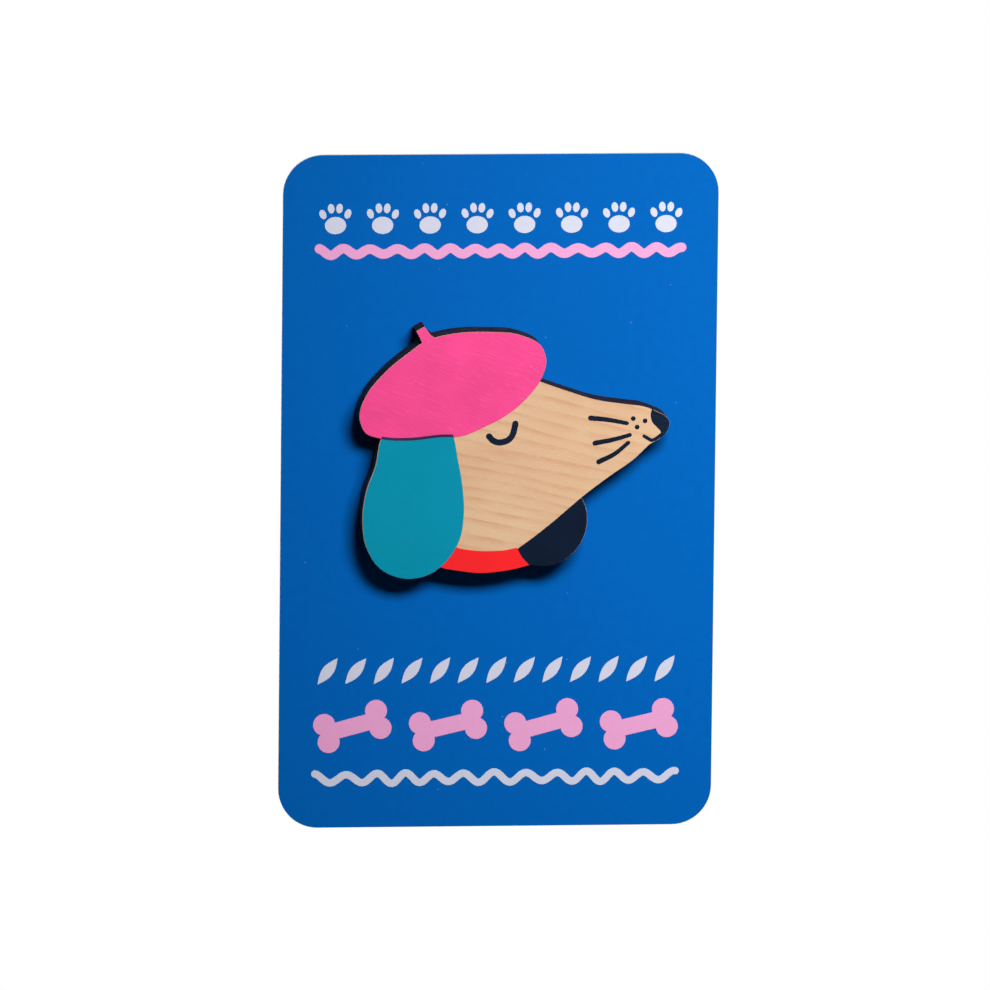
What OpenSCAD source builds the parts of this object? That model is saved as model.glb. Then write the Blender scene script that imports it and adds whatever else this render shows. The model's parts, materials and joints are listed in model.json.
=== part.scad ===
// Wooden pin badge of a dog in a beret, pinned through its backing card by two butterfly clutches.
// The badge faces -Y and stands upright, with +Z up and +X to the dog's nose.
// The origin is midway between the two posts, on the plane where the pads meet the card or the cloth.

/* [Badge] */
// Overall width of the badge, from the back of the ear to the nose
badge_w = 39.2; // [30:0.1:50]
// Thickness of the fibreboard core
core_t = 3; // [1.4:0.1:4]
// Thickness of each maple veneer
veneer_t = 0.5; // [0.3:0.05:1]
// Thickness of the printed ink
ink_t = 0.06; // [0.04:0.01:0.12]

/* [Posts and pads] */
// Distance between the two posts
post_gap = 19; // [15:0.5:23]
// Radius of a post
post_r = 0.55; // [0.4:0.01:0.7]
// Length of a post, from its pad to its point
post_len = 8; // [7.5:0.1:12]
// Length of the tapered point
point_len = 1.2; // [0.8:0.1:2]
// Depth of the groove that the clutch grips
groove_depth = 0.2; // [0.1:0.05:0.25]
// Length of the groove along the post
groove_len = 0.9; // [0.7:0.1:1.2]
// Radius of a mounting pad
pad_r = 4; // [3:0.1:5]
// Thickness of a mounting pad
pad_t = 0.4; // [0.2:0.05:0.8]
// Thickness of the glue under a pad
glue_t = 0.15; // [0.05:0.05:0.4]

/* [Card] */
// Width of the backing card
card_w = 55; // [45:0.5:80]
// Height of the backing card
card_h = 86; // [70:0.5:120]
// Thickness of the card board
card_t = 0.6; // [0.3:0.05:1.2]
// Radius of the card's corners
corner_r = 5; // [2:0.5:10]
// Thickness of each printed layer on the card
print_t = 0.05; // [0.03:0.01:0.1]
// Distance that the card's centre lies to the right of the posts' middle
card_shift = 0.5; // [-3:0.1:3]
// Distance that the card's centre lies below the posts
card_drop = 5.7; // [2:0.1:8]
// Blank margin beside the printed decoration
print_margin = 4.6; // [3:0.1:8]

/* [Clutches] */
// Radius over the rolled rim of a clutch
clutch_r = 5.7; // [5:0.1:7]
// Radius of the rolled rim's section
rim_r = 0.3; // [0.2:0.05:0.5]
// Radius of the housing that holds the spring
housing_r = 4.5; // [4.2:0.1:4.9]
// Height of the housing's top above the base's outer face
housing_h = 1.9; // [1.7:0.1:2.4]
// Thickness of the clutch's sheet brass
sheet_t = 0.3; // [0.2:0.05:0.4]
// Width of a spring wing
wing_w = 5; // [4:0.1:5.4]
// Height of a spring jaw above the base's outer face
jaw_h = 1.15; // [1:0.05:1.4]

/* [Fits] */
// Running gap between a post and the spring jaws around it
post_play = 0.05; // [0.02:0.01:0.1]
// Gap between a post and the plain holes that it passes through
hole_play = 0.25; // [0.15:0.05:0.5]
// Gap between the seats of the pads, the card and the clutches
seat_gap = 0.1; // [0.05:0.05:0.3]

/* [Hidden] */
$fn = 96;

// Back planes of the layers, from the pads forward
wood_back = -pad_t - glue_t;
core_back = wood_back - veneer_t;
face_back = core_back - core_t;
ink_back = face_back - veneer_t;
overprint_back = ink_back - ink_t;

// Planes of the card and the clutches, from the pads back
print_front = seat_gap;
board_front = print_front + print_t;
board_back = board_front + card_t;
clutch_seat = board_back + seat_gap;

// The groove lies where the jaws close, and the shank runs on from it to the point
groove_mid = clutch_seat + jaw_h;
shank_end = post_len - point_len;
point_flat_r = 0.06;

// The drawing is 39.2 wide, and every point of it grows with the badge
art_w = 39.2;
art_k = badge_w / art_w;

// Beret, clockwise from its right-hand bulge
beret_points = [
    [5.9, 12.1], [5.2, 13.7], [2.9, 14.95], [-1.5, 15.45], [-6.3, 15.2], [-9.2, 14.4], [-11.7, 12.7],
    [-14.7, 10.1], [-16.8, 7.4], [-17.6, 4.8], [-16.8, 2.65], [-14.9, 1.95], [-11.4, 1.7], [-7.3, 2.1],
    [-4.6, 2.2], [-1.9, 3.3], [1.1, 4.9], [3.7, 7.2], [5.3, 9.4]
];
stem_points = [[-9.7, 13.8], [-10.0, 14.6], [-10.55, 15.6], [-9.5, 16.2], [-8.7, 15.1], [-7.6, 14.4]];
// Near ear, with its root under the beret
near_ear_points = [
    [-14.9, 1.8], [-15.5, -1.4], [-16.7, -4.9], [-17.1, -8.5], [-16.6, -11.9], [-14.9, -14.6],
    [-11.4, -16.0], [-8.5, -15.4], [-6.3, -13.6], [-4.8, -11.0], [-4.3, -7.8], [-4.5, -4.3],
    [-5.1, -0.9], [-6.2, 3.2], [-9.5, 5.5], [-13.5, 4.5]
];
// Forehead and top of the snout, round the nose to the chin
snout_points = [
    [3.5, 9.7], [5.15, 9.1], [8.5, 7.9], [12.4, 6.7], [16.3, 6.1], [18.4, 5.8],
    [19.8, 5.25], [21.0, 4.65], [21.6, 3.85], [21.4, 2.8], [20.2, 1.6], [19.1, 1.0]
];
// Jaw and throat, down to the collar
jaw_points = [
    [19.1, 1.0], [17.0, -1.0], [14.3, -2.9], [10.6, -5.7], [7.0, -8.8], [4.1, -11.1], [2.6, -12.2]
];
// Back of the head, all of it under the collar, the ear and the beret
hidden_head_points = [[0.5, -14], [-7, -13], [-8, -4], [-4, 6]];
// Far ear, from under the jaw round to the collar
far_ear_points = [
    [9.9, -5.0], [10.7, -6.0], [11.2, -7.4], [11.3, -9.0],
    [10.8, -11.0], [9.3, -13.1], [6.9, -14.4], [4.0, -14.3]
];
far_ear_hidden_points = [[3.1, -13.3], [2.5, -12.2], [5.0, -8.0]];
collar_top_points = [
    [-6.6, -11.4], [-5.2, -12.0], [-3.1, -12.4], [-0.8, -12.5], [1.0, -12.4], [2.6, -12.1], [4.6, -12.4]
];
collar_foot_points = [
    [5.4, -14.0], [4.0, -14.35], [2.3, -14.8], [0.2, -15.15],
    [-2.2, -15.3], [-4.6, -15.05], [-7.0, -14.6], [-8.6, -14]
];
nose_points = [
    [19.2, 4.7], [19.5, 5.7], [21.3, 5.8], [22.6, 4.4], [22.3, 2.6], [21.0, 1.4], [20.4, 1.9], [20.5, 2.6],
    [20.0, 3.2], [19.4, 3.9]
];
mouth_points = [[20.7, 2.3], [20.3, 2.0], [19.8, 1.65], [19.4, 1.5], [18.9, 1.75], [18.4, 2.05]];
eye_points = [
    [-1.2, 2.15], [-0.8, 1.7], [-0.2, 1.4], [0.5, 1.4], [1.25, 1.7], [1.7, 2.2], [1.95, 2.95], [2.1, 3.75]
];
whiskers = [
    [[11.6, 4.4], [13.9, 4.15], [16.2, 3.7]],
    [[12.2, 1.2], [14.4, 1.6], [16.6, 2.2]],
    [[12.7, -1.2], [14.7, -0.2], [16.4, 1.2]]
];
freckles = [[17.0, 4.3], [18.5, 4.0], [17.5, 3.2]];
eye_w = 0.78;
mouth_w = 0.42;
whisker_w = 0.64;
whisker_tip_w = 0.5;
freckle_r = 0.3;
overprint_w = 0.34;

// Decoration of the card, placed from its nearest edge. The waves are drawn 45.8 long and grow with it.
wave_art_len = 45.8;
wave_len = card_w - 2 * print_margin;
wave_k = wave_len / wave_art_len;
top_wave_depth = 12.3;
top_wave_w = 1.2;
top_wave_count = 14;
top_wave_rise = 0.38;
foot_wave_depth = 6.3;
foot_wave_w = 0.95;
foot_wave_rise = 0.6;
foot_wave_count = 12;
paw_depth = 8.1;
paw_count = 8;
leaf_depth = 20.1;
leaf_count = 13;
bone_depth = 13;
bone_count = 4;

// Direction of a curve at b, between its neighbours a and c, weighted by how near each is
function slope(a, b, c) =
    let (u = norm(b - a), v = norm(c - b))
    ((b - a) * v / u + (c - b) * u / v) / (u + v);

// Point a share t of the way from b to c, on a curve that leaves b along s and meets c along e
function between(b, c, s, e, t) =
    let (d = norm(c - b), t2 = t * t, t3 = t * t * t)
    (2 * t3 - 3 * t2 + 1) * b + (t3 - 2 * t2 + t) * d * s + (3 * t2 - 2 * t3) * c + (t3 - t2) * d * e;

// Smooth closed curve through p, in n steps from each point to the next
function loop_curve(p, n = 6) =
    let (k = len(p))
    [for (i = [0:k - 1], j = [0:n - 1])
        let (a = p[(i + k - 1) % k], b = p[i], c = p[(i + 1) % k], d = p[(i + 2) % k])
        between(b, c, slope(a, b, c), slope(b, c, d), j / n)];

// Smooth open curve through p
function open_curve(p, n = 6) =
    let (k = len(p), q = concat([2 * p[0] - p[1]], p, [2 * p[k - 1] - p[k - 2]]))
    concat(
        [for (i = [1:k - 1], j = [0:n - 1])
            between(q[i], q[i + 1], slope(q[i - 1], q[i], q[i + 1]), slope(q[i], q[i + 1], q[i + 2]), j / n)],
        [p[k - 1]]);

// Unit vector to the left of a line at its point i
function left_of(p, i) =
    let (d = p[min(i + 1, len(p) - 1)] - p[max(i - 1, 0)])
    [-d[1], d[0]] / norm(d);

// Half circle of radius r round c, from the side n over to the other side
function round_end(c, n, r) = [for (a = [15:15:165]) c + r * (cos(a) * n + sin(a) * [n[1], -n[0]])];

// Outline of a round-ended stroke along p, w0 wide at the start and w1 at the end
function stroke(p, w0, w1) =
    let (k = len(p) - 1)
    concat(
        [for (i = [0:k]) p[i] + left_of(p, i) * (w0 + (w1 - w0) * i / k) / 2],
        round_end(p[k], left_of(p, k), w1 / 2),
        [for (i = [k:-1:0]) p[i] - left_of(p, i) * (w0 + (w1 - w0) * i / k) / 2],
        round_end(p[0], -left_of(p, 0), w0 / 2));

// Hand-drawn line of count waves, whose crests swell and drift a little
function wave_line(count, rise, seed) =
    [for (i = [0:count * 14])
        let (t = i / (count * 14), a = 360 * count * t + 24 * sin(700 * t + seed))
        [wave_art_len * (t - 0.5), rise * (1 + 0.16 * sin(1300 * t + seed)) * cos(a)]];

// Oval of half-lengths a and b
function oval(a, b) = [for (i = [0:23]) [a * cos(15 * i), b * sin(15 * i)]];

// Pointed leaf along X
function leaf(half_len, half_w) =
    concat(
        [for (i = [0:10]) [-half_len + half_len * i / 5, half_w * sin(18 * i)]],
        [for (i = [9:-1:1]) [-half_len + half_len * i / 5, -half_w * sin(18 * i)]]);

// Flat shapes of the drawing
module beret_shape() {
    polygon(art_k * loop_curve(beret_points));
}

module stem_shape() {
    polygon(art_k * stem_points);
}

module near_ear_shape() {
    polygon(art_k * loop_curve(near_ear_points));
}

module head_shape() {
    polygon(art_k * concat(open_curve(snout_points), open_curve(jaw_points), hidden_head_points));
}

module far_ear_shape() {
    polygon(art_k * concat(open_curve(far_ear_points), far_ear_hidden_points));
}

module collar_shape() {
    polygon(art_k * concat(open_curve(collar_top_points), open_curve(collar_foot_points)));
}

// Gives each flat shape a thickness forward of the plane y = back, and joins them as solids
module layer(back, t) {
    for (i = [0:$children - 1]) {
        translate([0, back, 0]) rotate([90, 0, 0]) linear_extrude(t) children(i);
    }
}

// The whole outline of the badge, as a board of thickness t
module badge_layer(back, t) {
    layer(back, t) {
        head_shape();
        beret_shape();
        stem_shape();
        near_ear_shape();
        far_ear_shape();
        collar_shape();
    }
}

// Stands a piece on the post at the left (-1) or the right (1), with its own +Z along the post
module on_post(side, y) {
    translate([side * post_gap / 2, y, 0]) rotate([-90, 0, 0]) children();
}

module core_board() {
    color("#3a2a20") badge_layer(core_back, core_t);
}

module face_veneer() {
    color("#e2be94") badge_layer(face_back, veneer_t);
}

module back_veneer() {
    color("#d8b184") badge_layer(wood_back, veneer_t);
}

module beret_ink() {
    color("#f54e94") layer(ink_back, ink_t) {
        beret_shape();
        stem_shape();
    }
}

module near_ear_ink() {
    color("#008ca8") difference() {
        layer(ink_back, ink_t) near_ear_shape();
        layer(ink_back, ink_t) beret_shape();
    }
}

// Dark line where the beret's edge was printed over the ear
module overprint_ink() {
    color("#553c82") intersection() {
        layer(overprint_back, ink_t) near_ear_shape();
        difference() {
            layer(overprint_back, ink_t) beret_shape();
            translate([0, 0, overprint_w * art_k]) layer(overprint_back, ink_t) beret_shape();
        }
    }
}

module far_ear_ink() {
    color("#0a1c32") difference() {
        layer(ink_back, ink_t) far_ear_shape();
        layer(ink_back, ink_t) head_shape();
    }
}

module collar_ink() {
    color("#ff282d") difference() {
        layer(ink_back, ink_t) collar_shape();
        layer(ink_back, ink_t) {
            near_ear_shape();
            far_ear_shape();
        }
    }
}

module nose_ink() {
    color("#0a1c32") intersection() {
        layer(ink_back, ink_t) head_shape();
        layer(ink_back, ink_t) {
            polygon(art_k * loop_curve(nose_points));
            polygon(art_k * stroke(open_curve(mouth_points), mouth_w, mouth_w));
        }
    }
}

module eye_ink() {
    color("#0a1c32") layer(ink_back, ink_t) polygon(art_k * stroke(open_curve(eye_points), eye_w, eye_w));
}

module whisker_ink() {
    color("#0a1c32") layer(ink_back, ink_t) for (w = whiskers) {
        polygon(art_k * stroke(open_curve(w), whisker_w, whisker_tip_w));
    }
}

module freckle_ink() {
    color("#0a1c32") layer(ink_back, ink_t) for (f = freckles) {
        translate(art_k * f) circle(art_k * freckle_r);
    }
}

module glue(side) {
    color("#d9cfa8") on_post(side, wood_back) cylinder(r = pad_r - glue_t, h = glue_t);
}

// Disc with a chamfered rim
module pad(side) {
    chamfer = pad_t / 4;
    color("#c9c9c4") on_post(side, -pad_t) rotate_extrude() polygon([
        [0, 0], [pad_r, 0], [pad_r, pad_t - chamfer], [pad_r - chamfer, pad_t], [0, pad_t]
    ]);
}

module post(side) {
    groove_r = post_r - groove_depth;
    half = groove_len / 2;
    color("#d2d2ce") on_post(side, 0) rotate_extrude() polygon([
        [0, 0], [post_r, 0], [post_r, groove_mid - half], [groove_r, groove_mid - half + groove_depth / 2],
        [groove_r, groove_mid + half - groove_depth / 2], [post_r, groove_mid + half],
        [post_r, shank_end], [point_flat_r, post_len], [0, post_len]
    ]);
}

// Card and its print, drawn about the card's centre
module on_card(back, t) {
    translate([card_shift, 0, -card_drop]) layer(back, t) children();
}

module card_shape() {
    difference() {
        union() {
            square([card_w, card_h - 2 * corner_r], center = true);
            square([card_w - 2 * corner_r, card_h], center = true);
            for (x = [-1, 1], z = [-1, 1]) {
                translate([x * (card_w / 2 - corner_r), z * (card_h / 2 - corner_r)]) circle(corner_r);
            }
        }
        for (side = [-1, 1]) {
            translate([side * post_gap / 2 - card_shift, card_drop]) circle(post_r + hole_play);
        }
    }
}

module card_board() {
    color("#e4e0d8") on_card(board_back, card_t) card_shape();
}

module card_print() {
    color("#0060b8") on_card(board_front, print_t) card_shape();
}

module top_wave_print() {
    color("#ee96cd") on_card(print_front, print_t) translate([0, card_h / 2 - top_wave_depth])
        polygon(wave_k * stroke(wave_line(top_wave_count, top_wave_rise, 40), top_wave_w, top_wave_w));
}

module foot_wave_print() {
    color("#dad8e8") on_card(print_front, print_t) translate([0, foot_wave_depth - card_h / 2])
        polygon(wave_k * stroke(wave_line(foot_wave_count, foot_wave_rise, 160), foot_wave_w, foot_wave_w));
}

// Row of count shapes across the card, the first and last at the ends of the waves
module print_row(count, inset) {
    long = wave_len - 2 * inset;
    for (i = [0:count - 1]) {
        translate([long * (i / (count - 1) - 0.5), 0]) rotate(i % 2 == 0 ? 1 : -1) children();
    }
}

module paw_shape() {
    translate([0, -0.85]) polygon(oval(1.35, 1.1));
    for (i = [-1.5:1:1.5]) {
        translate([1.05 * i, 1.4 - 0.36 * i * i]) rotate(-14 * i) polygon(oval(0.42, 0.62));
    }
}

module paw_print_row() {
    color("#dad8e8") on_card(print_front, print_t) translate([0, card_h / 2 - paw_depth])
        print_row(paw_count, 2) paw_shape();
}

module leaf_print_row() {
    color("#dad8e8") on_card(print_front, print_t) translate([0, leaf_depth - card_h / 2])
        print_row(leaf_count, 1.5) rotate(52) polygon(leaf(2.1, 0.72));
}

// Dog's bone: a bar with two lobes at each end
module bone_shape() {
    square([6.6, 2.1], center = true);
    for (x = [-1, 1], z = [-1, 1]) {
        translate([3.4 * x, 1.15 * z]) circle(1.4);
    }
}

module bone_print_row() {
    color("#ee96cd") on_card(print_front, print_t) translate([0, bone_depth - card_h / 2])
        print_row(bone_count, 4.7) rotate(14) bone_shape();
}

// Flat base that bears on the card or the cloth, with a rolled rim
module clutch_base(side) {
    hole_r = post_r + hole_play;
    color("#c9a24a") on_post(side, clutch_seat) rotate_extrude() {
        translate([hole_r, 0]) square([clutch_r - rim_r - hole_r, sheet_t]);
        translate([clutch_r - rim_r, rim_r]) circle(rim_r);
    }
}

// The strip's centre line: a flat jaw, a bend, and a wing that flares and curls outward
jaw_gap = 0.05;
wing_foot_x = 1.3;
wing_bend_r = 0.5;
wing_rise = 0.55;
flare_r = 4.5;
flare_turn = 35;
curl_r = 1.6;
curl_turn = 65;
wing_x = wing_foot_x + wing_bend_r;
flare_z = jaw_h + wing_bend_r + wing_rise;
flare_end = [wing_x + flare_r * (1 - cos(flare_turn)), flare_z + flare_r * sin(flare_turn)];
curl_centre = flare_end + curl_r * [cos(flare_turn), -sin(flare_turn)];
wing_line = concat(
    [[jaw_gap, jaw_h]],
    [for (a = [0:15:90]) [wing_foot_x + wing_bend_r * sin(a), jaw_h + wing_bend_r * (1 - cos(a))]],
    [for (a = [0:5:flare_turn]) [wing_x + flare_r * (1 - cos(a)), flare_z + flare_r * sin(a)]],
    [for (a = [5:10:curl_turn])
        curl_centre + curl_r * [-cos(flare_turn + a), sin(flare_turn + a)]]
);
wing_top = curl_centre[1] + curl_r + sheet_t;

// Shallow cup over the spring, with a window that the wings stand through
module clutch_housing(side) {
    window_x = wing_x + sheet_t + 0.2;
    window_y = wing_w + 0.5;
    shoulder = 0.5;
    color("#cfa950") on_post(side, clutch_seat) difference() {
        rotate_extrude() polygon(concat(
            [[0, housing_h - sheet_t], [housing_r - shoulder, housing_h - sheet_t]],
            [[housing_r - sheet_t, housing_h - shoulder], [housing_r - sheet_t, sheet_t]],
            [[housing_r, sheet_t]],
            [for (a = [0:15:90]) [housing_r, housing_h] - shoulder * [1 - cos(a), 1 - sin(a)]],
            [[0, housing_h]]));
        translate([-window_x, -window_y / 2, 0]) cube([2 * window_x, window_y, housing_h + 1]);
    }
}

// Outline of a bent strip of even thickness, square at both ends
function strip(p, t) =
    concat(
        [for (i = [0:len(p) - 1]) p[i] + left_of(p, i) * t / 2],
        [for (i = [len(p) - 1:-1:0]) p[i] - left_of(p, i) * t / 2]);

// One half of the spring, to the right (1) or the left (-1) of its post
module spring_wing(side, hand) {
    corner = 1.5;
    color("#d8b45c") on_post(side, clutch_seat) rotate(hand > 0 ? 0 : 180) difference() {
        intersection() {
            rotate([90, 0, 0]) linear_extrude(wing_w, center = true) polygon(strip(wing_line, sheet_t));
            rotate([90, 0, 90]) linear_extrude(clutch_r) union() {
                translate([-wing_w / 2, 0]) square([wing_w, wing_top - corner]);
                translate([-wing_w / 2 + corner, 0]) square([wing_w - 2 * corner, wing_top]);
                for (s = [-1, 1]) {
                    translate([s * (wing_w / 2 - corner), wing_top - corner]) circle(corner);
                }
            }
        }
        cylinder(r = post_r + post_play, h = jaw_h + sheet_t);
    }
}

module left_glue() { glue(-1); }
module right_glue() { glue(1); }
module left_pad() { pad(-1); }
module right_pad() { pad(1); }
module left_post() { post(-1); }
module right_post() { post(1); }
module left_clutch_base() { clutch_base(-1); }
module right_clutch_base() { clutch_base(1); }
module left_clutch_housing() { clutch_housing(-1); }
module right_clutch_housing() { clutch_housing(1); }
module left_clutch_inner_wing() { spring_wing(-1, 1); }
module left_clutch_outer_wing() { spring_wing(-1, -1); }
module right_clutch_inner_wing() { spring_wing(1, -1); }
module right_clutch_outer_wing() { spring_wing(1, 1); }

core_board();
face_veneer();
back_veneer();
beret_ink();
near_ear_ink();
overprint_ink();
far_ear_ink();
collar_ink();
nose_ink();
eye_ink();
whisker_ink();
freckle_ink();
left_glue();
right_glue();
left_pad();
right_pad();
left_post();
right_post();
card_board();
card_print();
top_wave_print();
foot_wave_print();
paw_print_row();
leaf_print_row();
bone_print_row();
left_clutch_base();
left_clutch_housing();
left_clutch_inner_wing();
left_clutch_outer_wing();
right_clutch_base();
right_clutch_housing();
right_clutch_inner_wing();
right_clutch_outer_wing();
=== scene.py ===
import json
from math import cos, pi, radians, sin

import bmesh
import bpy
from mathutils import Euler, Matrix, Vector, kdtree, noise


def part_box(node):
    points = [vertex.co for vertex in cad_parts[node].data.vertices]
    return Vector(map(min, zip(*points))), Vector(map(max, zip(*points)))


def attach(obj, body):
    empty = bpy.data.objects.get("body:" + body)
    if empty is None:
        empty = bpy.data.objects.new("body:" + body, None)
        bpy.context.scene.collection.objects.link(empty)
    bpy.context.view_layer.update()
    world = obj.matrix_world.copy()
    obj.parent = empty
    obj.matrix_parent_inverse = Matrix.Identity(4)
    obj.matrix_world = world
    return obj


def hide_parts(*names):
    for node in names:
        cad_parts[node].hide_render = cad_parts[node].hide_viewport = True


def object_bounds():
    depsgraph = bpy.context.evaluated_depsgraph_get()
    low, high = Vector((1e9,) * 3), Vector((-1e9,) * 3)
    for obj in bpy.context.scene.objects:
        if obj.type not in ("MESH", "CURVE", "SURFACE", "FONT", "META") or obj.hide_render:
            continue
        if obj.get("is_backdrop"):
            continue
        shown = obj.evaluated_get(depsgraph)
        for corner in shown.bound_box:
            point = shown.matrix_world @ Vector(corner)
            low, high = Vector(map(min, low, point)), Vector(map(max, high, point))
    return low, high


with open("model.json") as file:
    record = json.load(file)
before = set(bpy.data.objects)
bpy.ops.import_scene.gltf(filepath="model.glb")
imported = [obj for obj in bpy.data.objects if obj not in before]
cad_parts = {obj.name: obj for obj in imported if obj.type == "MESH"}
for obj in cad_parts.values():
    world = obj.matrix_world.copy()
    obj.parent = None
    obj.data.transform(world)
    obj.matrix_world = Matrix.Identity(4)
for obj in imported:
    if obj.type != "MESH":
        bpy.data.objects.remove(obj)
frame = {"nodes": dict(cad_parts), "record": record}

cad_low, cad_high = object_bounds()
MM = 0.001

# ---------------------------------------------------------------------------
# Camera
# The card hangs upright and is looked at from a little to its left and a little above it.
# A long lens keeps the sides of the card parallel.
view_azimuth = radians(-6)
view_elevation = radians(10)
view_roll = radians(0.6)
view_distance = 2000 * MM
view_width = 124.8 * MM
view_target = Vector((0.1, 0, -6.15)) * MM

camera_data = bpy.data.cameras.new("camera")
camera_data.sensor_width = 36
camera_data.lens = camera_data.sensor_width * view_distance / view_width
camera_data.clip_start = 10 * MM
camera_data.clip_end = 10
camera = bpy.data.objects.new("camera", camera_data)
towards_viewer = Vector((
    sin(view_azimuth) * cos(view_elevation),
    -cos(view_azimuth) * cos(view_elevation),
    sin(view_elevation),
))
camera.location = view_target + view_distance * towards_viewer
looking = (-towards_viewer).to_track_quat("-Z", "Y") @ Euler((0, 0, view_roll)).to_quaternion()
camera.rotation_euler = looking.to_euler()
bpy.context.scene.collection.objects.link(camera)
bpy.context.scene.camera = camera
bpy.context.scene.view_settings.view_transform = "Standard"

# ---------------------------------------------------------------------------
# Studio
# A white sweep all round, a small soft lamp close by in front at the upper right, and a wide one
# behind for the clutches. The floor looks as white as the sweep, so it shows no horizon.


def add(tree, kind, out=0, **given):
    """Adds a shader node. Capitalised names are its inputs, as values or as other nodes' outputs, and the
    others are its options. Gives back one of its outputs."""
    made = tree.nodes.new("ShaderNode" + kind)
    for name, value in given.items():
        if name[0].islower():
            setattr(made, name, value)
    for name, value in given.items():
        if name[0].islower():
            continue
        socket = made.inputs[name.replace("_", " ")]
        if isinstance(value, bpy.types.NodeSocket):
            tree.links.new(value, socket)
        else:
            socket.default_value = value
    return made.outputs[out]


def lamp(name, place, aim, width, height, watts, spread=180):
    """A soft lamp at a place, turned to face another, with its beam's spread in degrees."""
    data = bpy.data.lights.new(name, "AREA")
    data.shape = "RECTANGLE"
    data.size = width
    data.size_y = height
    data.energy = watts
    data.spread = radians(spread)
    made = bpy.data.objects.new(name, data)
    made.location = place
    made.rotation_euler = (Vector(aim) - Vector(place)).to_track_quat("-Z", "Y").to_euler()
    bpy.context.scene.collection.objects.link(made)


sweep_light = 0.005
sweep_gloss = 0.25
key_place = Vector((45, -200, 115)) * MM
key_aim = Vector((92, 0, -60)) * MM
key_watts = 0.386
key_spread = 120
lamp("key_lamp", key_place, key_aim, 95 * MM, 50 * MM, key_watts, key_spread)
back_place = Vector((-160, 260, 190)) * MM
back_aim = Vector((0, 0, -5)) * MM
back_size = 220 * MM
back_watts = 1.6
lamp("back_lamp", back_place, back_aim, back_size, back_size, back_watts)

world = bpy.data.worlds.new("white_sweep")
world.use_nodes = True
world.node_tree.nodes.clear()
seen_sweep = add(world.node_tree, "Background", Color=(1, 1, 1, 1), Strength=1.0)
lighting_sweep = add(world.node_tree, "Background", Color=(1, 1, 1, 1), Strength=sweep_light)
mirrored_sweep = add(world.node_tree, "Background", Color=(1, 1, 1, 1), Strength=sweep_gloss)
gloss_mix = world.node_tree.nodes.new("ShaderNodeMixShader")
world.node_tree.links.new(add(world.node_tree, "LightPath", out="Is Glossy Ray"), gloss_mix.inputs[0])
world.node_tree.links.new(lighting_sweep, gloss_mix.inputs[1])
world.node_tree.links.new(mirrored_sweep, gloss_mix.inputs[2])
sweep_mix = world.node_tree.nodes.new("ShaderNodeMixShader")
world.node_tree.links.new(add(world.node_tree, "LightPath"), sweep_mix.inputs[0])
world.node_tree.links.new(gloss_mix.outputs[0], sweep_mix.inputs[1])
world.node_tree.links.new(seen_sweep, sweep_mix.inputs[2])
add(world.node_tree, "OutputWorld", out=slice(0), Surface=sweep_mix.outputs[0])
bpy.context.scene.world = world

floor_drop = 12 * MM
floor_reach = 3.0
floor_grey = (0.06, 0.06, 0.06, 1)
floor_mesh = bpy.data.meshes.new("floor")
floor_form = bmesh.new()
bmesh.ops.create_grid(
    floor_form, x_segments=1, y_segments=1, size=floor_reach,
    matrix=Matrix.Translation((0, 0, cad_low.z - floor_drop)),
)
floor_form.to_mesh(floor_mesh)
floor_form.free()
floor = bpy.data.objects.new("floor", floor_mesh)
bpy.context.scene.collection.objects.link(floor)
floor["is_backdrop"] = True
floor_finish = bpy.data.materials.new("white_floor")
floor_finish.use_nodes = True
floor_tree = floor_finish.node_tree
floor_tree.nodes.clear()
floor_mix = floor_tree.nodes.new("ShaderNodeMixShader")
floor_tree.links.new(add(floor_tree, "LightPath"), floor_mix.inputs[0])
floor_tree.links.new(add(floor_tree, "BsdfDiffuse", Color=floor_grey), floor_mix.inputs[1])
floor_tree.links.new(add(floor_tree, "Emission", Color=(1, 1, 1, 1), Strength=1.0), floor_mix.inputs[2])
add(floor_tree, "OutputMaterial", out=slice(0), Surface=floor_mix.outputs[0])
floor_mesh.materials.append(floor_finish)

# ---------------------------------------------------------------------------
# Fibreboard core
# 3 mm of dense brown fibreboard, cut out by laser together with its veneers. Only its edge shows,
# burnt nearly black, with fine ribs where the beam went through from face to back.


def maths(tree, operation, a, b=0.0):
    """Two values or outputs joined by an operation, such as ADD, MULTIPLY or POWER."""
    made = tree.nodes.new("ShaderNodeMath")
    made.operation = operation
    for socket, value in zip(made.inputs, (a, b)):
        if isinstance(value, bpy.types.NodeSocket):
            tree.links.new(value, socket)
        else:
            socket.default_value = value
    return made.outputs[0]


def fade(tree, value, low, high, start=0.0, end=1.0):
    """Goes from start to end while a value goes from low to high, and stays there beyond."""
    return add(
        tree, "MapRange", clamp=True, Value=value,
        From_Min=low, From_Max=high, To_Min=start, To_Max=end,
    )


def mix(tree, share, a, b):
    """Colour a with a share of colour b on it."""
    made = tree.nodes.new("ShaderNodeMix")
    made.data_type = "RGBA"
    for socket, value in ((made.inputs[0], share), (made.inputs[6], a), (made.inputs[7], b)):
        if isinstance(value, bpy.types.NodeSocket):
            tree.links.new(value, socket)
        else:
            socket.default_value = value if isinstance(value, float) else (*value, 1)
    return made.outputs[2]


def noise_in(tree, size, detail=2.0, rough=0.5, turn=0.0, centre=(0, 0, 0)):
    """Noise whose features have a size in mm along X, Y and Z, turned about Y."""
    space = add(
        tree, "Mapping", vector_type="TEXTURE", Vector=add(tree, "TexCoord", out=3),
        Location=Vector(centre) * MM, Rotation=(0, turn, 0), Scale=Vector(size) * MM,
    )
    return add(tree, "TexNoise", Vector=space, Scale=1.0, Detail=detail, Roughness=rough)


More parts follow.
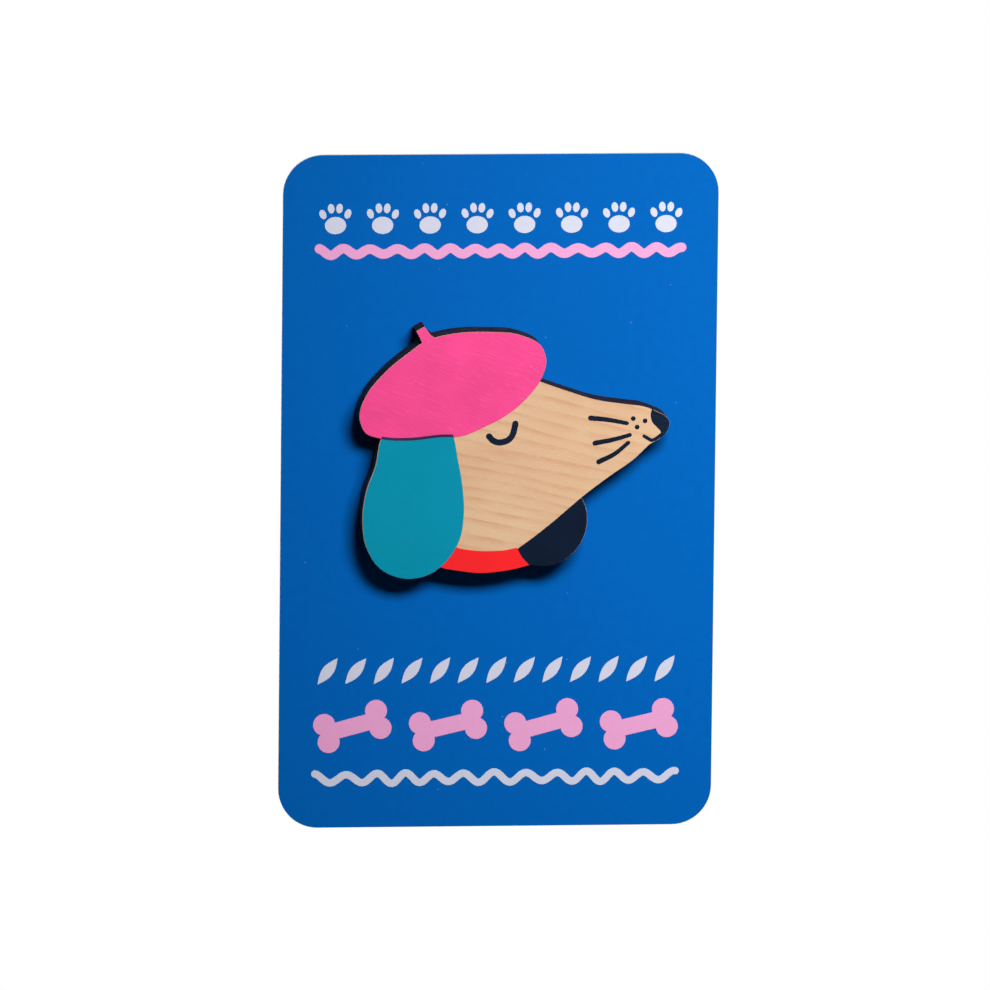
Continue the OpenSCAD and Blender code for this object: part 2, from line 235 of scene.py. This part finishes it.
def bump(tree, height, depth, below=None):
    """Normal for a relief of a given depth in mm, laid over another one."""
    made = tree.nodes.new("ShaderNodeBump")
    made.inputs["Distance"].default_value = depth * MM
    tree.links.new(height, made.inputs["Height"])
    if below is not None:
        tree.links.new(below, made.inputs["Normal"])
    return made.outputs[0]


def finish(name, colour_of, **plain):
    """A material. colour_of draws its pattern in the tree and gives what feeds the shader's sockets, and
    the plain numbers go on the shader's own sockets."""
    made = bpy.data.materials.new(name)
    made.use_nodes = True
    tree = made.node_tree
    tree.nodes.clear()
    shader = tree.nodes.new("ShaderNodeBsdfPrincipled")
    for socket, value in plain.items():
        shader.inputs[socket.replace("_", " ")].default_value = value
    for socket, output in colour_of(tree).items():
        tree.links.new(output, shader.inputs[socket.replace("_", " ")])
    add(tree, "OutputMaterial", out=slice(0), Surface=shader.outputs[0])
    return made


def merged(node):
    """A merged copy of a CAD solid's mesh, with its flat faces in one piece each."""
    form = bmesh.new()
    form.from_mesh(frame["nodes"][node].data)
    bmesh.ops.remove_doubles(form, verts=form.verts, dist=0.002 * MM)
    bmesh.ops.dissolve_limit(form, angle_limit=radians(0.6), verts=form.verts, edges=form.edges)
    return form


def round_rims(form, radius, steps=2, above=40):
    """Rounds the edges that turn by more than an angle, and gives back the new faces."""
    rims = [e for e in form.edges if len(e.link_faces) == 2 and e.calc_face_angle(0) > radians(above)]
    made = bmesh.ops.bevel(
        form, geom=rims, offset=radius, offset_type="OFFSET", affect="EDGES",
        segments=steps, profile=0.5, material=-1, clamp_overlap=True,
    )
    return made["faces"]


body_of = {n: b for b, names in frame["record"]["behaviour"]["bodies"].items() for n in names}


def place(name, form, node, *finishes, smooth_below=35):
    """Makes a finished mesh into a piece that stands for a CAD node."""
    for face in form.faces:
        face.smooth = True
    for edge in form.edges:
        edge.smooth = len(edge.link_faces) == 2 and edge.calc_face_angle(0) < radians(smooth_below)
    mesh = bpy.data.meshes.new(name)
    form.to_mesh(mesh)
    form.free()
    for item in finishes:
        mesh.materials.append(item)
    piece = bpy.data.objects.new(name, mesh)
    bpy.context.scene.collection.objects.link(piece)
    even = piece.modifiers.new("even_shading", "WEIGHTED_NORMAL")
    even.keep_sharp = True
    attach(piece, body_of[node])
    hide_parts(node)
    return piece


soot = (0.008, 0.004, 0.003)
burnt_fibre = (0.035, 0.018, 0.013)
burnt_sheen = (0.09, 0.05, 0.04)


def char_pattern(tree):
    ribs = noise_in(tree, (0.16, 6, 0.16), detail=3, rough=0.6)
    patches = noise_in(tree, (1.6, 0.8, 1.6), detail=3)
    base = mix(tree, fade(tree, ribs, 0.35, 0.7), soot, burnt_fibre)
    colour = mix(tree, fade(tree, patches, 0.5, 0.75, 0, 0.6), base, burnt_sheen)
    grit = noise_in(tree, (0.06, 0.06, 0.06), detail=1)
    return {
        "Base_Color": colour,
        "Roughness": fade(tree, patches, 0.3, 0.7, 0.85, 0.55),
        "Normal": bump(tree, ribs, 0.05, bump(tree, grit, 0.012)),
    }


laser_char = finish("laser_char", char_pattern, Specular_IOR_Level=0.2)

core_rim = 0.05 * MM
core_form = merged("core_board")
round_rims(core_form, core_rim)
place("fibreboard_core", core_form, "core_board", laser_char)

# ---------------------------------------------------------------------------
# Maple veneers
# 0.5 mm maple glued to both sides of the core. The grain of the face runs gently down to the right.
# The cut burns its edge like the core's, and singes a thin orange-brown line along the rim.
grain_fall = radians(13)
ring_gap = 1.45


def new_group(name, inputs, outputs):
    """An empty node group with number inputs and outputs. Gives it with its two ends."""
    group = bpy.data.node_groups.new(name, "ShaderNodeTree")
    for label, value in inputs.items():
        socket = group.interface.new_socket(name=label, in_out="INPUT", socket_type="NodeSocketFloat")
        socket.default_value = value
    for label in outputs:
        group.interface.new_socket(name=label, in_out="OUTPUT", socket_type="NodeSocketFloat")
    return group, group.nodes.new("NodeGroupInput").outputs, group.nodes.new("NodeGroupOutput").inputs


def use(tree, group, **values):
    """Puts a node group in a material with its own values, and gives its outputs."""
    made = tree.nodes.new("ShaderNodeGroup")
    made.node_tree = group
    for name, value in values.items():
        made.inputs[name].default_value = value
    return made.outputs


grain_group, grain_in, grain_out = new_group(
    "maple_grain", {"Shift": 0.0}, ("Streaks", "Flecks", "Cloud", "Height"),
)


def grain_space(size):
    """Position along, into and across the grain in steps of a size in mm, moved by the group's Shift."""
    space = add(
        grain_group, "Mapping", vector_type="TEXTURE", Vector=add(grain_group, "TexCoord", out=3),
        Rotation=(0, grain_fall, 0), Scale=Vector(size) * MM,
    )
    moved = add(grain_group, "VectorMath", operation="ADD")
    shift = add(grain_group, "CombineXYZ", X=grain_in["Shift"], Y=0.0, Z=grain_in["Shift"])
    grain_group.links.new(space, moved.node.inputs[0])
    grain_group.links.new(shift, moved.node.inputs[1])
    return moved


def grain_noise(size, detail, rough=0.5):
    """Noise drawn out along the grain."""
    return add(
        grain_group, "TexNoise", Vector=grain_space(size), Scale=1.0, Detail=detail, Roughness=rough,
    )


fleck_pale = (0.84, 0.64, 0.43)
fleck_share = 0.3
across = add(grain_group, "SeparateXYZ", out=2, Vector=grain_space((1, 1, ring_gap)))
waver = maths(grain_group, "MULTIPLY", grain_noise((28, 30, 7), 2.0), 2.6)
ring = maths(grain_group, "FRACT", maths(grain_group, "ADD", across, waver))
late_wood = maths(
    grain_group, "MULTIPLY", fade(grain_group, ring, 0.25, 0.9), fade(grain_group, ring, 0.9, 1.0, 1, 0),
)
streak_breaks = grain_noise((5.5, 30, 1.6), 3.0, 0.6)
flecks = grain_noise((0.9, 30, 0.11), 2.0, 0.6)
cloud = grain_noise((14, 30, 8), 2.0)
fibres = grain_noise((2.2, 30, 0.07), 2.0, 0.6)
grain_group.links.new(
    maths(
        grain_group, "MULTIPLY", maths(grain_group, "POWER", late_wood, 1.6),
        fade(grain_group, streak_breaks, 0.33, 0.6, 0.05, 1),
    ),
    grain_out["Streaks"],
)
grain_group.links.new(fade(grain_group, flecks, 0.56, 0.74), grain_out["Flecks"])
grain_group.links.new(fade(grain_group, cloud, 0.35, 0.65), grain_out["Cloud"])
grain_group.links.new(
    maths(grain_group, "ADD", maths(grain_group, "MULTIPLY", fibres, 0.6), flecks), grain_out["Height"],
)


def maple_pattern(pale, warm, streak, shift, streak_share):
    """Pattern of a bare maple veneer: its two ground tints, and its rings' colour, place and strength."""
    def pattern(tree):
        grain = use(tree, grain_group, Shift=shift)
        ground = mix(tree, grain["Cloud"], pale, warm)
        streaked = mix(tree, maths(tree, "MULTIPLY", grain["Streaks"], streak_share), ground, streak)
        return {
            "Base_Color": mix(
                tree, maths(tree, "MULTIPLY", grain["Flecks"], fleck_share), streaked, fleck_pale,
            ),
            "Roughness": fade(tree, grain["Height"], 0.5, 1.1, 0.62, 0.5),
            "Normal": bump(tree, grain["Height"], 0.02),
        }
    return pattern


face_pale = (0.695, 0.463, 0.277)
face_warm = (0.65, 0.402, 0.234)
face_ring = (0.58, 0.29, 0.145)
maple_face = finish(
    "maple_face", maple_pattern(face_pale, face_warm, face_ring, 0.0, 0.78), Specular_IOR_Level=0.3,
)
back_pale = (0.7, 0.46, 0.27)
back_warm = (0.62, 0.38, 0.2)
back_ring = (0.48, 0.25, 0.11)
maple_back = finish(
    "maple_back", maple_pattern(back_pale, back_warm, back_ring, 7.3, 0.9), Specular_IOR_Level=0.3,
)
singe_dark = (0.05, 0.018, 0.01)
singe_light = (0.27, 0.1, 0.045)


def singe_pattern(tree):
    burn = noise_in(tree, (0.5, 0.5, 0.5), detail=4, rough=0.65)
    facing = add(tree, "SeparateXYZ", out=1, Vector=add(tree, "TexCoord", out=1))
    depth = maths(tree, "ADD", maths(tree, "ABSOLUTE", facing), maths(tree, "MULTIPLY", burn, 0.4))
    return {
        "Base_Color": mix(tree, fade(tree, depth, 0.6, 1.05), singe_dark, singe_light),
        "Normal": bump(tree, noise_in(tree, (0.08, 0.4, 0.08)), 0.015),
    }


singed_rim = finish("singed_rim", singe_pattern, Roughness=0.7)

veneer_rim = 0.16 * MM
for name, node, face_finish in (
    ("maple_face_veneer", "face_veneer", maple_face),
    ("maple_back_veneer", "back_veneer", maple_back),
):
    veneer_form = merged(node)
    rim_faces = set(round_rims(veneer_form, veneer_rim))
    finishes = (face_finish, laser_char, singed_rim)
    for face in veneer_form.faces:
        if abs(face.normal.y) > 0.99:
            used = face_finish
        elif face in rim_faces:
            used = singed_rim
        else:
            used = laser_char
        face.material_index = finishes.index(used)
    place(name, veneer_form, node, *finishes)

# ---------------------------------------------------------------------------
# Printed inks
# UV-cured ink printed on the veneer before cutting, one area for each colour. It is satin and opaque,
# follows the grain in fine short scratches, and holds a little dust. The cut singed its outer edge. The
# pink lies nearly in place, and the other colours a hair low and to the right of the cut.
dust_group, dust_in, dust_out = new_group("dust", {"Size": 1.0, "Amount": 0.03}, ("Specks",))
dust_space = add(
    dust_group, "VectorMath", operation="SCALE", Vector=add(dust_group, "TexCoord", out=3),
    Scale=maths(dust_group, "DIVIDE", 1 / MM, dust_in["Size"]),
)
dust_cells = dust_group.nodes.new("ShaderNodeTexVoronoi")
dust_cells.inputs["Scale"].default_value = 1.0
dust_group.links.new(dust_space, dust_cells.inputs["Vector"])
chosen = maths(
    dust_group, "LESS_THAN", add(dust_group, "SeparateColor", Color=dust_cells.outputs["Color"]),
    dust_in["Amount"],
)
dust_group.links.new(
    maths(dust_group, "MULTIPLY", chosen, fade(dust_group, dust_cells.outputs["Distance"], 0.1, 0.16, 1, 0)),
    dust_out["Specks"],
)

scratch_fall = radians(23)
crossing_fall = radians(28)
dust_grey = (0.8, 0.75, 0.75)
dust_share = 0.35


def ink_pattern(colour, light, dark, warm_edge, scratch, relief=0.02, specks=0.02):
    """Pattern of an ink: its colour and lighter and darker tints of it, how strong its scratches are, how
    deep its relief is in mm, and how much dust it holds."""
    def pattern(tree):
        cloud = noise_in(tree, (7, 7, 7), detail=2)
        lines = noise_in(tree, (1.5, 9, 0.14), detail=2, rough=0.6, turn=scratch_fall)
        crossing = noise_in(tree, (0.8, 9, 0.1), detail=1, turn=crossing_fall, centre=(40, 0, 10))
        stipple = noise_in(tree, (0.12, 0.12, 0.12), detail=1)
        tint = mix(tree, fade(tree, cloud, 0.35, 0.65), dark, colour)
        raised = maths(tree, "MULTIPLY", fade(tree, lines, 0.56, 0.74), scratch)
        scored = maths(tree, "MULTIPLY", fade(tree, crossing, 0.44, 0.26), scratch)
        lined = mix(tree, scored, mix(tree, raised, tint, light), dark)
        dust = use(tree, dust_group, Size=0.5, Amount=specks)["Specks"]
        dusted = mix(tree, maths(tree, "MULTIPLY", dust, dust_share), lined, dust_grey)
        facing = add(tree, "SeparateXYZ", out=1, Vector=add(tree, "TexCoord", out=1))
        edge = fade(tree, maths(tree, "ABSOLUTE", facing), 0.92, 0.6)
        height = maths(tree, "ADD", lines, maths(tree, "MULTIPLY", stipple, 0.35))
        return {
            "Base_Color": mix(tree, edge, dusted, warm_edge),
            "Roughness": fade(tree, stipple, 0.3, 0.7, 0.42, 0.56),
            "Normal": bump(tree, height, relief),
        }
    return pattern


def tinted(colour, share):
    """A colour made lighter, or darker with a share below 1."""
    return tuple(min(1.0, c * share + (0.03 if share > 1 else 0)) for c in colour)


pink = (0.92, 0.068, 0.28)
teal = (0.0, 0.267, 0.4)
navy = (0.003, 0.0095, 0.028)
red = (0.93, 0.02, 0.024)
plum = (0.06, 0.02, 0.09)
scorched_pink = (0.35, 0.04, 0.05)
scorched = (0.05, 0.025, 0.02)
pink_ink = finish(
    "pink_ink", ink_pattern(pink, tinted(pink, 1.1), tinted(pink, 0.88), scorched_pink, 0.5, 0.03, 0.006),
    Specular_IOR_Level=0.12,
)
teal_ink = finish(
    "teal_ink", ink_pattern(teal, tinted(teal, 1.05), tinted(teal, 0.95), scorched, 0.15, 0.006, 0.003),
    Specular_IOR_Level=0.08,
)
navy_ink = finish(
    "navy_ink", ink_pattern(navy, (0.006, 0.018, 0.045), tinted(navy, 0.8), navy, 0.3, 0.01, 0.004),
    Specular_IOR_Level=0.08,
)
navy_line_ink = finish(
    "navy_line_ink", ink_pattern(navy, (0.012, 0.03, 0.07), tinted(navy, 0.7), navy, 0.5, 0.03, 0.0),
    Specular_IOR_Level=0.1,
)
red_ink = finish(
    "red_ink", ink_pattern(red, red, tinted(red, 0.95), scorched_pink, 0.2, 0.008, 0.003),
    Specular_IOR_Level=0.06,
)
plum_ink = finish(
    "plum_ink", ink_pattern(plum, plum, tinted(plum, 0.7), scorched, 0.5, 0.01, 0.0),
    Specular_IOR_Level=0.08,
)

badge_sides = [f for f in frame["nodes"]["core_board"].data.polygons if abs(f.normal.y) < 0.5]
side_corners = sorted({i for f in badge_sides for i in f.vertices})
outline = kdtree.KDTree(len(side_corners))
for i in side_corners:
    corner = frame["nodes"]["core_board"].data.vertices[i].co
    outline.insert((corner.x, 0, corner.z), i)
outline.balance()
on_outline = 0.005 * MM
print_inset = 0.02 * MM


def draw_in(form, shift):
    """Moves the sides that lie on the badge's outline inwards, by a small gap all round and by more where
    a print that landed a shift away from the cut missed them."""
    outer = {v for v in form.verts if outline.find((v.co.x, 0, v.co.z))[2] < on_outline}
    sides = [f for f in form.faces if abs(f.normal.y) < 0.5 and outer.issuperset(f.verts)]
    moves = {}
    for side in sides:
        for corner in side.verts:
            moves[corner] = moves.get(corner, Vector()) + side.normal
    for corner, out in moves.items():
        corner.co -= (print_inset + max(0.0, -shift.dot(out.normalized()))) * out.normalized()


pink_shift = Vector((0.01, 0, -0.01)) * MM
print_shift = Vector((0.025, 0, -0.025)) * MM
ink_rim = 0.045 * MM
for name, node, ink, shift in (
    ("pink_beret", "beret_ink", pink_ink, pink_shift),
    ("teal_ear", "near_ear_ink", teal_ink, print_shift),
    ("plum_overlap", "overprint_ink", plum_ink, print_shift),
    ("navy_ear", "far_ear_ink", navy_ink, print_shift),
    ("red_collar", "collar_ink", red_ink, print_shift),
    ("navy_nose", "nose_ink", navy_line_ink, print_shift),
    ("navy_eye", "eye_ink", navy_line_ink, print_shift),
    ("navy_whiskers", "whisker_ink", navy_line_ink, print_shift),
    ("navy_freckles", "freckle_ink", navy_line_ink, print_shift),
):
    ink_form = merged(node)
    draw_in(ink_form, shift)
    round_rims(ink_form, ink_rim)
    place(name, ink_form, node, ink)

# ---------------------------------------------------------------------------
# Backing card
# White board, printed blue over the front and die-cut with round corners. Its cut edge shows pale
# fibre, and its back is bare. Two holes let the posts through.
board_white = (0.76, 0.73, 0.68)
board_shade = (0.735, 0.703, 0.652)
ply_shade = (0.62, 0.58, 0.53)
board_fleck = (0.3, 0.24, 0.17)
tooth_group, tooth_in, tooth_out = new_group("paper_tooth", {"Size": 1.0}, ("Mottle", "Fibre"))
tooth_space = add(
    tooth_group, "VectorMath", operation="SCALE", Vector=add(tooth_group, "TexCoord", out=3),
    Scale=maths(tooth_group, "DIVIDE", 1 / MM, tooth_in["Size"]),
)
for label, scale, detail in (("Mottle", 0.9, 3.0), ("Fibre", 5.0, 2.0)):
    tooth_noise = add(tooth_group, "TexNoise", Vector=tooth_space, Scale=scale, Detail=detail, Roughness=0.6)
    tooth_group.links.new(tooth_noise, tooth_out[label])


def board_pattern(tree):
    tooth = use(tree, tooth_group, Size=1.0)
    layers = noise_in(tree, (3, 0.05, 3), detail=2)
    colour = mix(tree, fade(tree, tooth["Mottle"], 0.35, 0.7), board_white, board_shade)
    facing = add(tree, "SeparateXYZ", out=1, Vector=add(tree, "TexCoord", out=1))
    edge = fade(tree, maths(tree, "ABSOLUTE", facing), 0.8, 0.5)
    plies = mix(tree, fade(tree, layers, 0.4, 0.65), board_white, ply_shade)
    specks = use(tree, dust_group, Size=0.8, Amount=0.08)["Specks"]
    flecked = mix(tree, maths(tree, "MULTIPLY", specks, 0.35), colour, board_fleck)
    return {"Base_Color": mix(tree, edge, flecked, plies), "Normal": bump(tree, tooth["Fibre"], 0.02)}


card_stock = finish("card_stock", board_pattern, Roughness=0.85, Specular_IOR_Level=0.2)
board_rim = 0.07 * MM
board_form = merged("card_board")
round_rims(board_form, board_rim)
place("card_stock_board", board_form, "card_board", card_stock)

blue = (0.0, 0.121, 0.475)
screen_gap = 0.19
screen_turn = radians(38)
screen_paper = (0.8, 0.74, 0.86)
card_dust = (0.75, 0.8, 0.9)


def print_pattern(colour, light, dark, screen=0.0, specks=0.004):
    """Pattern of an offset print: its colour with two tints of it, the strength of its dot screen, and
    how much dust lies on it."""
    def pattern(tree):
        tooth = use(tree, tooth_group, Size=1.0)
        ground = mix(tree, fade(tree, tooth["Mottle"], 0.3, 0.7), light, dark)
        fine = mix(tree, fade(tree, tooth["Fibre"], 0.45, 0.75, 0, 0.35), ground, colour)
        if screen:
            dots = tree.nodes.new("ShaderNodeTexVoronoi")
            dots.inputs["Scale"].default_value = 1.0
            dots.inputs["Randomness"].default_value = 0.12
            space = add(
                tree, "Mapping", vector_type="TEXTURE", Vector=add(tree, "TexCoord", out=3),
                Rotation=(0, screen_turn, 0), Scale=Vector((screen_gap, 9, screen_gap)) * MM,
            )
            tree.links.new(space, dots.inputs["Vector"])
            between = fade(tree, dots.outputs["Distance"], 0.25, 0.5, 0, screen)
            fine = mix(tree, between, fine, screen_paper)
        dust = use(tree, dust_group, Size=0.45, Amount=specks)["Specks"]
        return {
            "Base_Color": mix(tree, maths(tree, "MULTIPLY", dust, 0.3), fine, card_dust),
            "Roughness": fade(tree, tooth["Fibre"], 0.3, 0.7, 0.52, 0.66),
            "Normal": bump(tree, tooth["Fibre"], 0.006),
        }
    return pattern


blue_print = finish(
    "blue_print", print_pattern(blue, blue, tinted(blue, 0.93)), Specular_IOR_Level=0.03,
)
frame["nodes"]["card_print"].material_slots[0].material = blue_print

# ---------------------------------------------------------------------------
# Decoration of the card
# Paw prints, leaves and bones between two wavy lines, overprinted in white and in pink. The white is
# a solid ink. The pink is built up from a screen of fine dots.
white = (0.64, 0.655, 0.79)
rose = (0.85, 0.275, 0.59)
white_print = finish(
    "white_print", print_pattern(white, white, tinted(white, 0.95), specks=0.0),
    Specular_IOR_Level=0.25,
)
pink_print = finish(
    "pink_print", print_pattern(rose, tinted(rose, 0.99), tinted(rose, 0.94), screen=0.35, specks=0.0),
    Specular_IOR_Level=0.25,
)
for node, ink in (
    ("top_wave_print", pink_print),
    ("bone_print_row", pink_print),
    ("paw_print_row", white_print),
    ("leaf_print_row", white_print),
    ("foot_wave_print", white_print),
):
    frame["nodes"][node].material_slots[0].material = ink

# ---------------------------------------------------------------------------
# Glue under the pads
# Clear epoxy between the back veneer and each pad. A drop of it is pressed out flat by the pad, with an
# uneven skirt that creeps past the rim.
glue_deep = (0.62, 0.5, 0.27)
glue_pale = (0.74, 0.65, 0.42)
bubble_pale = (0.9, 0.86, 0.7)
skirt_reach = 0.35 * MM
skirt_wave = 1.5 * MM
skirt_rim = 0.05 * MM


def glue_pattern(tree):
    cloud = noise_in(tree, (1.2, 0.6, 1.2), detail=3)
    bubbles = use(tree, dust_group, Size=0.5, Amount=0.12)["Specks"]
    tint = mix(tree, fade(tree, cloud, 0.35, 0.7), glue_deep, glue_pale)
    return {
        "Base_Color": mix(tree, maths(tree, "MULTIPLY", bubbles, 0.5), tint, bubble_pale),
        "Normal": bump(tree, maths(tree, "ADD", cloud, bubbles), 0.05),
    }


epoxy = finish("epoxy", glue_pattern, Roughness=0.18, Transmission_Weight=0.35, IOR=1.5)
for side in ("left", "right"):
    node = side + "_glue"
    low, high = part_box(node)
    middle = (low + high) / 2
    skirt = bmesh.new()
    bmesh.ops.create_circle(
        skirt, cap_ends=True, segments=72, radius=(high.x - low.x) / 2,
        matrix=Matrix.Translation((middle.x, high.y, middle.z)) @ Matrix.Rotation(pi / 2, 4, "X"),
    )
    grown = bmesh.ops.extrude_face_region(skirt, geom=skirt.faces[:])
    foot = [v for v in grown["geom"] if isinstance(v, bmesh.types.BMVert)]
    bmesh.ops.translate(skirt, verts=foot, vec=(0, low.y - high.y, 0))
    for corner in skirt.verts:
        out = corner.co - middle
        out.y = 0
        swell = skirt_reach * (0.5 + noise.noise(corner.co / skirt_wave))
        reach = 1.0 if corner in foot else 0.25
        corner.co += out.normalized() * swell * reach
    bmesh.ops.recalc_face_normals(skirt, faces=skirt.faces)
    round_rims(skirt, skirt_rim, steps=3, above=30)
    place(side + "_epoxy", skirt, node, epoxy, smooth_below=50)

# ---------------------------------------------------------------------------
# Pads and posts
# Nickel-plated steel. Each post is turned with a clutch groove and a point, and resistance-welded to a
# stamped disc that is glued to the wood.
wear_group, wear_in, wear_out = new_group("metal_wear", {"Size": 1.0}, ("Tarnish", "Scratches", "Pits"))
wear_space = add(
    wear_group, "VectorMath", operation="SCALE", Vector=add(wear_group, "TexCoord", out=3),
    Scale=maths(wear_group, "DIVIDE", 1 / MM, wear_in["Size"]),
)
wear_group.links.new(
    add(wear_group, "TexNoise", Vector=wear_space, Scale=0.7, Detail=4.0, Roughness=0.6),
    wear_out["Tarnish"],
)
wear_group.links.new(
    add(wear_group, "TexNoise", Vector=wear_space, Scale=9.0, Detail=2.0, Roughness=0.5),
    wear_out["Pits"],
)
scratch_space = add(
    wear_group, "Mapping", Vector=wear_space, Rotation=(0.3, 0.6, 0.4), Scale=(0.5, 14, 14),
)
wear_group.links.new(
    fade(wear_group, add(wear_group, "TexNoise", Vector=scratch_space, Scale=1.0, Detail=2.0), 0.58, 0.7),
    wear_out["Scratches"],
)


def metal_pattern(bright, dull, relief):
    """Pattern of a plated or rolled metal, from its bright to its tarnished colour."""
    def pattern(tree):
        wear = use(tree, wear_group, Size=1.0)
        tarnish = fade(tree, wear["Tarnish"], 0.42, 0.72)
        scratched = mix(tree, maths(tree, "MULTIPLY", wear["Scratches"], 0.4), dull, bright)
        rough = maths(
            tree, "ADD", fade(tree, wear["Tarnish"], 0.35, 0.7, 0.22, 0.42),
            maths(tree, "MULTIPLY", wear["Scratches"], 0.12),
        )
        height = maths(tree, "SUBTRACT", wear["Pits"], maths(tree, "MULTIPLY", wear["Scratches"], 0.5))
        return {
            "Base_Color": mix(tree, tarnish, bright, scratched),
            "Roughness": rough,
            "Normal": bump(tree, height, relief),
        }
    return pattern


nickel_bright = (0.72, 0.7, 0.66)
nickel_dull = (0.5, 0.48, 0.45)
nickel = finish("nickel", metal_pattern(nickel_bright, nickel_dull, 0.006), Metallic=1.0)
metal_rim = 0.05 * MM
for side in ("left", "right"):
    for part in ("pad", "post"):
        node = f"{side}_{part}"
        metal_form = merged(node)
        round_rims(metal_form, metal_rim, above=50)
        place(f"{side}_nickel_{part}", metal_form, node, nickel)

# ---------------------------------------------------------------------------
# Clutches
# Pressed sheet brass. The base is a disc with a rolled rim and a stamped bead, and a shallow cup with a
# window is closed down on it over the spring.
brass_bright = (0.78, 0.5, 0.17)
brass_dull = (0.5, 0.28, 0.08)
clutch_brass = finish("clutch_brass", metal_pattern(brass_bright, brass_dull, 0.008), Metallic=1.0)


spin_steps = 96


def spun(profile, centre):
    """A solid of revolution about the line through centre along Y, from (radius, height along Y) points.
    Its faces are sorted, because the spin gives them in a different order each time."""
    form = bmesh.new()
    points = [form.verts.new((r, h, 0)) for r, h in profile]
    edges = [form.edges.new(pair) for pair in zip(points, points[1:] + points[:1])]
    bmesh.ops.spin(
        form, geom=points + edges, cent=(0, 0, 0), axis=(0, 1, 0), dvec=(0, 0, 0),
        angle=2 * pi, steps=spin_steps, use_merge=True,
    )
    bmesh.ops.remove_doubles(form, verts=form.verts, dist=0.001 * MM)
    form.verts.index_update()
    many = len(form.verts)
    form.faces.sort(key=lambda f: min(v.index for v in f.verts) * many + max(v.index for v in f.verts))
    bmesh.ops.translate(form, verts=form.verts, vec=centre)
    bmesh.ops.recalc_face_normals(form, faces=form.faces)
    return form


hole_r = 0.8 * MM
rim_r = 0.3 * MM
sheet_t = 0.3 * MM
bead_rise = 0.12 * MM
bead_half = 0.2 * MM
bead_gap = 0.22 * MM
for side in ("left", "right"):
    node = side + "_clutch_base"
    low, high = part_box(node)
    centre = Vector(((low.x + high.x) / 2, low.y, (low.z + high.z) / 2))
    reach = (high.x - low.x) / 2
    rim_middle = reach - rim_r
    rim = [
        (rim_middle + rim_r * cos(radians(a)), rim_r + rim_r * sin(radians(a))) for a in range(-90, 181, 15)
    ]
    bead_r = rim_middle - rim_r - bead_gap
    bead = [
        (bead_r - bead_half * cos(radians(a)), sheet_t + bead_rise * sin(radians(a)))
        for a in range(180, -1, -30)
    ]
    collar = [
        (hole_r + 0.5 * MM, sheet_t), (hole_r + 0.3 * MM, sheet_t + 0.08 * MM),
        (hole_r + 0.04 * MM, sheet_t + 0.05 * MM), (hole_r, sheet_t - 0.02 * MM), (hole_r, 0.04 * MM),
        (hole_r + 0.05 * MM, 0),
    ]
    place(side + "_brass_base", spun(rim + bead + collar, centre), node, clutch_brass)
    node = side + "_clutch_housing"
    cup_form = merged(node)
    round_rims(cup_form, metal_rim, above=50)
    place(side + "_brass_cup", cup_form, node, clutch_brass)

# ---------------------------------------------------------------------------
# Spring wings
# One strip of hard brass for each clutch, folded so that its two jaws close on the post. Its ends stand
# through the window as the two wings that are squeezed together to let go.
spring_bright = (0.84, 0.58, 0.22)
spring_dull = (0.6, 0.36, 0.12)
spring_brass = finish("spring_brass", metal_pattern(spring_bright, spring_dull, 0.01), Metallic=1.0)
for side in ("left", "right"):
    for half in ("inner", "outer"):
        node = f"{side}_clutch_{half}_wing"
        wing_form = merged(node)
        round_rims(wing_form, metal_rim, above=50)
        place(f"{side}_{half}_spring_wing", wing_form, node, spring_brass)

# ---------------------------------------------------------------------------
# The box round the finished pieces. The CAD pieces' box was found at the start.
low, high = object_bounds()
